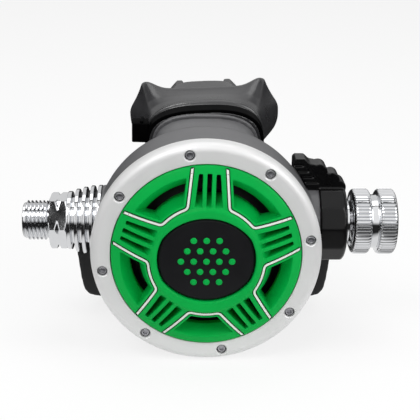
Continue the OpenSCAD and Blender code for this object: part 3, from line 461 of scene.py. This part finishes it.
# Radii of the fins from the hexagon inwards. The last one stands against the case's boss.
FIN_TIPS = [10.5, 11.4, 12.1, 12.6, 12.8]
FIN_ROOT = 8.4
FIN_PITCH = 2.7
FIRST_FIN = -48.45
FIN_HALF_TIP = 0.65
FIN_HALF_ROOT = 0.85
SLEEVE_BORE = 6.2
fins = [(SLEEVE_BORE, -49.28, 0), (FIN_TIPS[0], -49.28, 0.28),
        (FIN_TIPS[0], FIRST_FIN + FIN_HALF_TIP, 0.28), (FIN_ROOT, FIRST_FIN + FIN_HALF_ROOT, 0.3)]
for row, tip in enumerate(FIN_TIPS[1:], 1):
    at = FIRST_FIN + FIN_PITCH * row
    fins += [(FIN_ROOT, at - FIN_HALF_ROOT, 0.3), (tip, at - FIN_HALF_TIP, 0.28),
             (tip, at + FIN_HALF_TIP, 0.28)]
    if row < len(FIN_TIPS) - 1:
        fins.append((FIN_ROOT, at + FIN_HALF_ROOT, 0.3))
sink = turned(fins + [(SLEEVE_BORE, -37, 0)], 128)
sink.transform(ON_VALVE)
piece("cooling_fins", sink, chrome, ["heat_sink"], sharp=40)

# Valve: a brass barrel right across the case, with the steel orifice and the acetal poppet
# inside it, pressed on each other by a light spring of drawn wire.

# Brass under a nickel flash: pale yellow, bright where it was turned
barrel_brass = finish("nickel_flashed_brass", "#C9B98E", 0.28, grain=0.3, depth=0.004, edge=0.15,
                      Metallic=1.0)
# Stainless steel, stamped or turned: clear grey with soft, bright edges
stamped_steel = finish("stamped_stainless", "#C4C4C8", 0.25, grain=0.3, depth=0.004, edge=0.12,
                       Metallic=1.0)
# Acetal as it comes: ivory, a little waxy
acetal = finish("natural_acetal", "#E2DDCF", 0.35, grain=0.4, depth=0.004, edge=0.15)
# Greased nitrile rubber: black with a broad dull shine
nitrile = finish("nitrile_rubber", "#1B1B1C", 0.45, grain=0.2, depth=0.003)
dress(barrel_brass, "valve_barrel", "poppet_nut")
dress(stamped_steel, "seat_orifice", "adjust_screw")
dress(acetal, "poppet", "spring_pad")
dress(nitrile, "inlet_oring", "orifice_oring", "screw_oring", "poppet_seat")
# Spring wire, drawn smooth: a bright line along every turn
drawn_wire = finish("drawn_spring_wire", "#B4B4B8", 0.22, grain=0.4, depth=0.003, Metallic=1.0)


def coil(turns, radius, length, wire):
    """A coil of round wire along X from 0 to length; radius is that of the turns, wire its own."""
    made = bmesh.new()
    steps = round(turns * 32)
    bmesh.ops.create_circle(made, cap_ends=True, segments=10, radius=wire,
                            matrix=Matrix.Translation((wire, radius, 0)))
    bmesh.ops.spin(made, geom=made.faces[:] + made.verts[:] + made.edges[:], cent=(0, 0, 0),
                   axis=(1, 0, 0), dvec=((length - 2 * wire) / steps, 0, 0), angle=math.tau * turns,
                   steps=steps)
    return made


# The pad comes closer to the nut as the knob is turned in
VALVE_SPRING_FROM = 15.65
VALVE_SPRING_LENGTH = 11.5
valve_spring = coil(6, 3.3, VALVE_SPRING_LENGTH, 0.45)
valve_spring.transform(ON_VALVE @ Matrix.Translation((VALVE_SPRING_FROM, 0, 0)))
wound = piece("valve_spring", valve_spring, drawn_wire, ["poppet_spring"])
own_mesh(wound)

# Flow lever: a twelve-sided hub and a scalloped arm in one black moulding, on a sleeve whose
# flap turns in the air stream. A plain washer keeps it on the barrel.

# Acetal off a polished mould: deep black with narrow highlights along its edges
lever_acetal = finish("black_lever_acetal", "#0C0C0D", 0.3, grain=0.35, depth=0.004, patch=9,
                      Specular_IOR_Level=0.25)
piece("flow_lever", moulded(solid_of("venturi_lever"), 0.34, 4, 120000), lever_acetal,
      ["venturi_lever"], body="flow_lever", sharp=50, placed=True)
dress(glass_nylon, "venturi_vane")
dress(lever_acetal, "lever_washer")

# Adjustment knob: brass, turned with a waist between two finely fluted rings, chromed. It is
# screwed to the shaft that comes out of the gland and loads the valve spring.
gland = turned([(3.46, 46.05, 0), (6.12, 46.05, 0), (6.12, 50.55, 0), (7.5, 50.55, 0.1),
                (7.5, 51.75, 0.35), (3.46, 51.75, 0.15)])
gland.transform(ON_VALVE)
piece("shaft_gland", gland, chrome, ["barrel_gland"])

KNOB_R = 11.9
FLUTES = 60
FLUTE_DEPTH = 0.6
# A flute is a triangle too, this deep at this slope in shares of its depth and pitch, cut off at 1
FLUTE_PEAK = 1.15
FLUTE_SLOPE = 4.6
knob = turned([(3.43, 52.6, 0), (7.6, 52.6, 0), (7.6, 53.2, 0), (9.2, 53.2, 0), (9.2, 52.6, 0.15),
               (KNOB_R, 52.6, 1.4), (KNOB_R, 59.1, 1.4), (9.7, 59.1, 0.3), (9.7, 61.7, 0.3),
               (KNOB_R, 61.7, 1.4), (KNOB_R, 68.2, 1.4), (5, 68.2, 0.3), (5, 65.6, 0.2), (1.4, 65.6, 0),
               (1.4, 64.45, 0), (3.43, 64.45, 0)], FLUTES * 10)
for corner in knob.verts:
    away = math.hypot(corner.co.y, corner.co.z)
    if away > KNOB_R - FLUTE_DEPTH - 0.1:
        phase = math.degrees(math.atan2(corner.co.z, corner.co.y)) * FLUTES / 360 % 1
        valley = max(FLUTE_PEAK - abs(phase - 0.5) * FLUTE_SLOPE, 0)
        corner.co.yz = corner.co.yz * (min(away, KNOB_R - FLUTE_DEPTH * min(valley, 1)) / away)
knob.transform(ON_VALVE)
piece("fluted_knob", knob, chrome, ["adjust_knob"], body="knob", sharp=35)

BOLT_HEAD_AT = 67.6
knob_bolt = socket_screw(head=2.9, height=1.95, socket=1.25, depth=1.2, shank=1.2, length=9.2)
knob_bolt.transform(ON_VALVE @ Matrix.Translation((BOLT_HEAD_AT, 0, 0)) @ Matrix.Rotation(QUARTER, 4, "Z"))
piece("knob_bolt", knob_bolt, stainless, ["knob_screw"], body="knob")

# Diaphragm: a thin silicone skin with a fold, its bead clamped under the ring, and a hard
# disc in its middle. The stamped lever that opens the valve rests on it.

# Silicone, moulded thin: black, with hardly a highlight
silicone_skin = finish("black_silicone", "#242425", 0.5, grain=0.25, depth=0.004)
# The flat middle moves with the disc, and the fold round it stays with the bead
FOLD_R = 20.4
SKIN_FRONT = 9.6
SKIN_BACK = 10.3
middle = turned([(0, SKIN_FRONT, 0), (FOLD_R, SKIN_FRONT, 0), (FOLD_R, SKIN_BACK, 0), (0, SKIN_BACK, 0)],
                128, "Y")
piece("diaphragm_middle", middle, silicone_skin, [], body="diaphragm_centre")
fold = turned([(FOLD_R, SKIN_FRONT, 0), (21.3, SKIN_FRONT, 0.5), (24.2, 11.1, 0.4), (26, 10.8, 0.6),
               (28, 6.1, 0.5), (31.4, 5.9, 0.2), (31.4, 4.9, 0.3), (33.4, 4.9, 0.4), (33.4, 7.15, 0.4),
               (31.6, 7.15, 0.2), (31.6, 6.7, 0.1), (28.5, 6.9, 0.5), (26.5, 11.5, 0.6), (24, 11.9, 0.4),
               (21, SKIN_BACK, 0.3), (FOLD_R, SKIN_BACK, 0)], 128, "Y")
piece("diaphragm_fold", fold, silicone_skin, ["diaphragm"])
# Grey nylon: smooth, a little glossy
disc_nylon = finish("grey_disc_nylon", "#5E5E60", 0.4, grain=0.35, depth=0.006, edge=0.15)
dress(disc_nylon, "diaphragm_disc")
dress(stamped_steel, "demand_lever")

# Purge cover: a green elastomer moulding, satin, with five funnel windows, five slotted spokes
# and a rounded collar round the button. Five thin white lines are let into grooves in it.

# Coloured elastomer off an etched mould: one strong green, its highlights spread wide and weak
cover_green = finish("green_elastomer", "#00AD48", 0.45, grain=0.3, depth=0.008, patch=12, shade=0.9,
                     Specular_IOR_Level=0.1)
piece("cover_shell", moulded(solid_of("purge_cover"), 0.2, 2, 190000), cover_green,
      ["purge_cover"], sharp=40, placed=True)
# White elastomer strip: even, with softly rounded edges
trim_white = finish("white_inlay", "#E6EEE4", 0.4, grain=0.3, depth=0.003, edge=0.12, shade=0.95)
dress(trim_white, "cover_trim")
# The grooves are a little wider than the lines. A dark, dull sheet laid in them is painted shade: it draws
# the shadow of each groove as a dark line along both sides of the lines
groove_shade_paint = finish("painted_groove_shade", "#062A14", 0.6, grain=0.3, depth=0.003,
                     Specular_IOR_Level=0.1)
# The sheet of painted groove shade is a copy of the white lines, grown by this much and sunk this far
BED_WIDER = 0.34
BED_SUNK = 0.36
bed = solid_of("cover_trim")
bmesh.ops.remove_doubles(bed, verts=bed.verts, dist=WELD_SOLID)
bed.normal_update()
for corner in bed.verts:
    corner.co += (corner.normal * BED_WIDER + Vector((0, BED_SUNK, 0))) * MM
piece("trim_groove_shade", bed, groove_shade_paint, [], placed=True)

# Purge button: black acetal with a matt face, pushed out by a light spring, and a six-sided
# field of small green dots that gives the thumb its grip.

# Acetal off an etched mould: black that takes almost no light
button_black = finish("matt_black_acetal", "#141417", 0.5, grain=0.3, depth=0.008,
                      Specular_IOR_Level=0.2)
BUTTON_FRONT = -5
BUTTON_BACK = -2.4
BUTTON_HALF_W = 16.4
BUTTON_HALF_H = 14.7
BUTTON_UP = 0.4
# Radius of the two arcs that close the oval at its top and its foot
BUTTON_ARC = 18.4
button = turned([(0, BUTTON_FRONT, 0), (15.7, BUTTON_FRONT, 0.3), (BUTTON_HALF_W, -4.3, 0.3),
                 (BUTTON_HALF_W, BUTTON_BACK, 0), (13.5, BUTTON_BACK, 0), (13.5, -2.3, 0),
                 (17.4, -2.3, 0.1), (17.4, -0.9, 0.1), (15.2, -0.9, 0), (15.2, -1.7, 0.2), (8, -1.7, 0),
                 (8, BUTTON_BACK, 0.2), (3, BUTTON_BACK, 0.3), (3, 8.4, 0.4), (0, 8.4, 0)], 144, "Y")
# The rim of its plate is drawn in from round to oval
for corner in button.verts:
    away = math.hypot(corner.co.x, corner.co.z)
    if corner.co.y < BUTTON_BACK + 0.05 and away > 15:
        shift = BUTTON_ARC - BUTTON_HALF_H
        rise = shift * abs(corner.co.z) / away
        reach = min(BUTTON_HALF_W, math.sqrt(BUTTON_ARC ** 2 - shift ** 2 + rise ** 2) - rise)
        corner.co.xz = corner.co.xz * (reach / BUTTON_HALF_W)
        corner.co.z += BUTTON_UP
piece("button_cap", button, button_black, ["purge_button"], body="purge")
GRIP_PITCH = 4.3
dots = bmesh.new()
for q in range(-2, 3):
    for r in range(-2, 3):
        if abs(q + r) <= 2:
            dot = turned([(0, -0.45, 0), (0.7, -0.4, 0.2), (1.15, -0.1, 0.2), (1.15, 0.5, 0),
                          (0, 0.5, 0)], 32, "Y")
            into(dots, dot, Matrix.Translation((GRIP_PITCH * (q + r / 2), BUTTON_FRONT,
                                                GRIP_PITCH * r * math.sin(math.pi / 3))))
piece("grip_dots", dots, cover_green, ["button_grips"], body="purge")
RETURN_SPRING_TO = 3.1
RETURN_SPRING_LENGTH = 5.4
return_spring = coil(3.5, 5.4, RETURN_SPRING_LENGTH, 0.4)
return_spring.transform(Matrix.Translation((0, RETURN_SPRING_TO - RETURN_SPRING_LENGTH, 0))
                        @ Matrix.Rotation(QUARTER, 4, "Z"))
wound = piece("return_spring", return_spring, drawn_wire, ["purge_spring"])
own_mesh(wound)

# Front ring: aluminium, turned, bead blasted and clear anodised, which leaves an even pale
# satin. Eight stainless screws in counterbores clamp it, the cover and the diaphragm's bead.

# Anodised oxide over blasted metal: whiter and flatter than bare aluminium, so only partly metallic
blasted_ring = finish("blasted_anodised_aluminium", "#E6E6E6", 0.5, grain=0.16, depth=0.01, patch=14,
                      spread=0.03, shade=0.97, edge=0.2, Metallic=0.3)
dress(blasted_ring, "front_ring")
SCREWS = 8
SCREW_CIRCLE = 35.9
SCREW_SUNK = 0.5
FIRST_SCREW = 99.1
screws = bmesh.new()
for number in range(SCREWS):
    turn = math.radians(FIRST_SCREW - 360 / SCREWS * number)
    # Each socket stopped at another angle
    into(screws, socket_screw(head=1.65, height=2.9, socket=0.9, depth=1.2, shank=1.2, length=11.4),
         Matrix.Translation((SCREW_CIRCLE * math.cos(turn), SCREW_SUNK, SCREW_CIRCLE * math.sin(turn)))
         @ Matrix.Rotation(0.4 * number, 4, "Y"))
piece("ring_screw_set", screws, stainless, ["ring_screws"])

# Mouthpiece: soft silicone, pressed on the mouth tube. Two lips follow the groove for its tie,
# then it swells to the shield that lies behind the lips, with two ridged tabs for the teeth.

# Silicone off a polished mould: dark grey with broad soft highlights on its lips and ears
mouth_silicone = finish("dark_grey_silicone", "#2F2F31", 0.3, grain=0.25, depth=0.004, patch=10,
                        Specular_IOR_Level=0.85)
# The mouth tube starts here and points up a little, and the mouthpiece sits on it a little askew
MOUTH_AT = (0, 44, 25)
MOUTH_TILT = math.radians(12)
MOUTH = Matrix.Translation(MOUTH_AT) @ Matrix.Rotation(MOUTH_TILT, 4, "X")
ROLL = Matrix.Rotation(math.radians(-2.6), 4, "Y")
SHIELD_HALF = 29.5
# Place along the axis, half width, half height, squareness, rise of the corners, sweep back
OUTSIDE = [
    (1.2, 20.6, 13.9, 2.8, 0, 0), (1.3, 20.9, 14.2, 2.8, 0, 0), (1.6, 20.9, 14.2, 2.8, 0, 0),
    (1.7, 20.6, 13.7, 2.8, 0, 0), (6.7, 20.6, 13.7, 2.8, 0, 0), (6.8, 21.6, 14.7, 2.7, 0, 0),
    (7.0, 21.9, 15.0, 2.7, 0, 0), (7.5, 21.8, 14.9, 2.7, 0, 0), (7.7, 21.1, 14.3, 2.7, 0, 0),
    (8.4, 21.1, 14.3, 2.7, 0, 0), (8.5, 21.7, 14.8, 2.7, 0, 0), (8.9, 22.2, 15.3, 2.7, 0, 0),
    (9.5, 22.4, 15.5, 2.7, 0, 0), (10.2, 22.4, 15.5, 2.7, 0, 0), (10.4, 22.2, 15.3, 2.7, 0, 0),
    (10.7, 21.3, 14.2, 2.7, 0, 0), (11.3, 21.3, 14.1, 2.7, 0, 0.1), (12.2, 21.9, 14.5, 2.7, 0, 0.3),
    (15.0, 22.8, 14.3, 2.7, 0.5, 1.4), (18.0, 24.8, 14.0, 2.7, 1.9, 3.0), (20.5, 27.0, 13.9, 2.7, 3.8, 5.0),
    (22.0, 28.7, 13.9, 2.7, 5.2, 6.6), (22.9, 29.3, 14.05, 2.7, 5.6, 7.0), (23.8, 29.5, 14.1, 2.7, 5.7, 7.0),
    (24.7, 29.1, 13.9, 2.7, 5.5, 7.0), (25.4, 27.9, 13.0, 2.7, 4.9, 7.0), (25.9, 24.4, 12.4, 2.75, 2.5, 7.0),
    (26.3, 20.5, 12.0, 2.8, 1.0, 7.0), (28.0, 16.6, 11.0, 3.0, 0, 5.0), (34.0, 14.9, 10.7, 3.4, 0, 1.0),
    (38.2, 14.1, 10.5, 3.6, 0, 0), (39.0, 13.5, 9.9, 3.6, 0, 0)]
INSIDE = [
    (39.0, 12.8, 8.9, 2.8, 0, 0), (38.4, 12.2, 8.4, 2.8, 0, 0), (24.0, 12.4, 8.2, 2.8, 0, 0),
    (14.0, 14.6, 8.6, 2.8, 0, 0), (11.2, 17.0, 10.6, 2.8, 0, 0), (11.1, 17.3, 11.1, 2.8, 0, 0),
    (1.2, 17.3, 11.1, 2.8, 0, 0)]


def close_rows(rows, step):
    """Puts rows between those given, so that none are further apart than step."""
    filled = [rows[0]]
    for before, after in zip(rows, rows[1:]):
        parts = max(1, math.ceil(abs(after[0] - before[0]) / step))
        for part in range(1, parts + 1):
            filled.append([b + (a - b) * part / parts for b, a in zip(before, after)])
    return filled


# Where the shield's upper corners rise, how far the rise reaches to both sides of that, as
# shares of the half width, and how much it draws the upper sides in
EAR_AT = 0.89
EAR_INNER = 0.22
EAR_OUTER = 0.06
EAR_PINCH = 0.016


def oval(across, up, half_w, half_h, square):
    """Takes a point of the unit circle to an oval, whose corners are squarer the higher square is."""
    return (half_w * math.copysign(abs(across) ** (2 / square), across),
            half_h * math.copysign(abs(up) ** (2 / square), up))


def soft_loop(whole, row, turn):
    """One loop of the mouthpiece, its ears raised and its sides swept back; returns its points."""
    at, half_w, half_h, square, rise, sweep = row
    points = bmesh.ops.create_circle(whole, cap_ends=False, segments=128, radius=1)["verts"]
    for corner in points:
        x, z = oval(corner.co.x, corner.co.y, half_w, half_h, square)
        off = abs(x) / half_w - EAR_AT
        pinch = EAR_PINCH * rise * min(max((z / half_h - 0.05) / 0.5, 0), 1) ** 2
        if z > 0:
            z += rise * math.exp(-(off / (EAR_INNER if off < 0 else EAR_OUTER)) ** 2)
        corner.co = turn @ Vector((x * (1 - pinch), at + sweep * (x / SHIELD_HALF) ** 2, z))
    return points


def skin(whole, loops):
    """Closes a row of loops to a ring-shaped skin, the last loop joined to the first."""
    edges = [list({edge for corner in points for edge in corner.link_edges}) for points in loops]
    for before, after in zip(edges, edges[1:] + edges[:1]):
        bmesh.ops.bridge_loops(whole, edges=before + after)


mouth = bmesh.new()
loops = [soft_loop(mouth, row, ROLL) for row in close_rows(OUTSIDE, 0.8)]
# The bore lies square on the tube up to here, and beyond it rolls with the outside
ON_TUBE = 12
loops += [soft_loop(mouth, row, ROLL if row[0] > ON_TUBE else Matrix())
          for row in close_rows(INSIDE, 2.0)]
skin(mouth, loops)
# A bite tab is a flat arm with a ridge across it, its outer end rounded by two cuts
TAB_OUTLINE = [(-2.2, -3.3), (-1, -6.3), (1.2, -6.3), (4.4, -2.8), (10.6, -1.8), (10.6, 1.8), (4.4, 2.8),
               (1.2, 6.3), (-1, 6.3), (-2.2, 3.3)]
TAB_TRIMS = [((10.7, 44), (7.5, 48.2)), ((7.5, 48.2), (1.2, 49))]
TAB_X = 9.6
RIDGE_REACH = 2.8
RIDGE_FROM = 36.5
TAB_FROM = 27.5
TAB_TO = 49
for side in (-1, 1):
    tab = bmesh.new()
    face = tab.faces.new([tab.verts.new((x, RIDGE_FROM if x < RIDGE_REACH else TAB_FROM, z))
                          for x, z in TAB_OUTLINE])
    pulled = bmesh.ops.extrude_face_region(tab, geom=[face])
    for moved in pulled["geom"]:
        if isinstance(moved, bmesh.types.BMVert):
            moved.co.y = TAB_TO
    for (x0, y0), (x1, y1) in TAB_TRIMS:
        cut = bmesh.ops.bisect_plane(tab, geom=tab.verts[:] + tab.edges[:] + tab.faces[:],
                                     plane_co=(x0, y0, 0), plane_no=(y1 - y0, x0 - x1, 0),
                                     clear_outer=True)
        bmesh.ops.holes_fill(tab, edges=[e for e in cut["geom_cut"] if isinstance(e, bmesh.types.BMEdge)])
    bmesh.ops.recalc_face_normals(tab, faces=tab.faces)
    tab.transform(Matrix.Translation((TAB_X, 0, 0)))
    if side < 0:
        tab.transform(Matrix.Scale(-1, 4, (1, 0, 0)))
        bmesh.ops.reverse_faces(tab, faces=tab.faces)
    into(mouth, tab, ROLL)
bmesh.ops.recalc_face_normals(mouth, faces=mouth.faces)
mouth.transform(PLACE @ MOUTH)
piece("soft_mouthpiece", moulded(mouth, 0.3, 2, 190000), mouth_silicone, ["mouthpiece"],
      sharp=60, placed=True)

# Cable tie: black nylon, pulled tight in the mouthpiece's groove, its ratchet head on the left
# flank and the loose end cut off short.

# Nylon 6.6: black, its colour made darker still and its shine taken away as painted shade, so that the band
# reads as the shadow of the groove it lies in
tie_nylon_and_painted_shade = finish("black_tie_nylon", "#060607", 0.5, grain=0.3, depth=0.004, Specular_IOR_Level=0.02)
# Section of the band: place along the axis, half width, half height. It lies as square as the groove.
BAND = [(1.9, 20.8, 13.9), (1.9, 21.9, 15.0), (2.1, 22.1, 15.2), (6.3, 22.1, 15.2), (6.5, 21.9, 15.0),
        (6.5, 20.8, 13.9)]
BAND_SQUARE = 2.8
tie = bmesh.new()
loops = []
for at, half_w, half_h in BAND:
    loops.append(bmesh.ops.create_circle(tie, cap_ends=False, segments=96, radius=1)["verts"])
    for corner in loops[-1]:
        x, z = oval(corner.co.x, corner.co.y, half_w, half_h, BAND_SQUARE)
        corner.co = (x, at, z)
skin(tie, loops)
bmesh.ops.recalc_face_normals(tie, faces=tie.faces)


def block(size, centre, round_off):
    """A box with rounded edges, in millimetres."""
    made = bmesh.new()
    bmesh.ops.create_cube(made, size=1, matrix=Matrix.Translation(centre) @ Matrix.Diagonal((*size, 1)))
    bmesh.ops.bevel(made, geom=made.edges[:], offset=round_off, offset_type="OFFSET", segments=4,
                    profile=0.5, affect="EDGES", clamp_overlap=True, material=-1)
    return made


HEAD_LEAN = Matrix.Translation((-27.2, 0, 2.9)) @ Matrix.Rotation(math.radians(4), 4, "Y")
# Ratchet head, and the stub of the loose end on it
into(tie, block((6.1, 4.8, 8), (3.05, 4.2, 4), 0.55), HEAD_LEAN)
into(tie, block((1.2, 4.2, 1.4), (3.6, 4.2, 8.1), 0.2), HEAD_LEAN)
tie.transform(MOUTH @ ROLL)
piece("cable_tie", tie, tie_nylon_and_painted_shade, ["mouthpiece_tie"])
